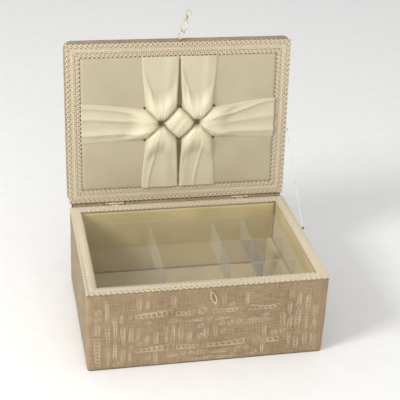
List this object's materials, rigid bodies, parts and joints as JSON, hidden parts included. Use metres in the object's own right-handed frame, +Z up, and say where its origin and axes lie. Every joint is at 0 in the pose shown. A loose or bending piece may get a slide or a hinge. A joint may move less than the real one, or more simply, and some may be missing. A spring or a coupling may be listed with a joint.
{
  "type": "sewing box",
  "caption": "Fabric-covered sewing box with a padded hinged lid, satin lining, a lift-out clear tray with dividers, a stay cord and a wire hasp.",
  "frame": {"origin": "centre of the box's underside, on the surface it stands on", "axes": "+X to the right seen from the front, +Y to the back where the hinges are, +Z up"},
  "size_m": [0.3066, 0.2882, 0.3749],
  "materials": {
    "printed_cloth": "matte",
    "cream_braid": "matte",
    "lining_satin": "satin",
    "band_satin": "satin",
    "board": "matte",
    "base_paper": "matte",
    "pad": "matte",
    "clear_plastic": "gloss",
    "cream_wire": "satin",
    "pale_brass": "satin",
    "white_cord": "matte",
    "dark_knot": "matte"
  },
  "bodies": {
    "box": {"back_board": "board", "base_paper": "base_paper", "bottom_board": "board", "front_board": "board", "hinge_left_box_leaf": "pale_brass", "hinge_left_box_tack_1": "pale_brass", "hinge_left_box_tack_2": "pale_brass", "hinge_left_pin": "pale_brass", "hinge_right_box_leaf": "pale_brass", "hinge_right_box_tack_1": "pale_brass", "hinge_right_box_tack_2": "pale_brass", "hinge_right_pin": "pale_brass", "keeper_eyelet": "cream_wire", "left_board": "board", "lining_back": "lining_satin", "lining_bottom": "lining_satin", "lining_front": "lining_satin", "lining_left": "lining_satin", "lining_right": "lining_satin", "outer_cover": "printed_cloth", "right_board": "board", "rim_braid": "cream_braid", "stay_cord": "white_cord", "stay_knot_box": "dark_knot", "tray_ledge_left": "lining_satin", "tray_ledge_right": "lining_satin"},
    "lid": {"hinge_left_lid_leaf": "pale_brass", "hinge_left_lid_tack_1": "pale_brass", "hinge_left_lid_tack_2": "pale_brass", "hinge_right_lid_leaf": "pale_brass", "hinge_right_lid_tack_1": "pale_brass", "hinge_right_lid_tack_2": "pale_brass", "lid_board": "board", "lid_braid": "cream_braid", "lid_cover": "printed_cloth", "lid_lining": "lining_satin", "lid_pad": "pad", "rosette_left": "band_satin", "rosette_right": "band_satin", "satin_band_left": "band_satin", "satin_band_right": "band_satin", "satin_cross_band_left": "band_satin", "satin_cross_band_right": "band_satin", "stay_knot_lid": "white_cord", "hasp_eyelet": "cream_wire"},
    "hasp_link": {"hasp_link": "cream_wire"},
    "hasp": {"hasp": "cream_wire"},
    "keeper": {"keeper": "cream_wire"},
    "tray": {"tray_cross_divider_1": "clear_plastic", "tray_cross_divider_2": "clear_plastic", "tray_cross_divider_3": "clear_plastic", "tray_long_divider": "clear_plastic", "tray_shell": "clear_plastic", "tray_short_divider_1": "clear_plastic", "tray_short_divider_2": "clear_plastic"}
  },
  "joints": [
    {"name": "lid_hinge", "type": "hinge", "parent": "box", "child": "lid", "pos_m": [0, 0.1126, 0.112], "axis": [-1, 0, 0], "range_deg": [-94.2, 0], "deforming": ["stay_cord"]},
    {"name": "hasp_link_swing", "type": "hinge", "parent": "lid", "child": "hasp_link", "pos_m": [0, 0.13812, 0.33721], "axis": [-0.9511, 0.028, 0.3077], "range_deg": [-90, 45]},
    {"name": "hasp_swing", "type": "hinge", "parent": "hasp_link", "child": "hasp", "pos_m": [0.0034, 0.13906, 0.34763], "axis": [-0.9511, 0.028, 0.3077], "range_deg": [0, 60]},
    {"name": "keeper_swing", "type": "hinge", "parent": "box", "child": "keeper", "pos_m": [0, -0.1126, 0.1045], "axis": [0.9397, 0, 0.342], "range_deg": [-75, 0]},
    {"name": "tray_lift", "type": "slide", "parent": "box", "child": "tray", "axis": [0, 0, 1], "range_m": [0, 0.08]}
  ]
}
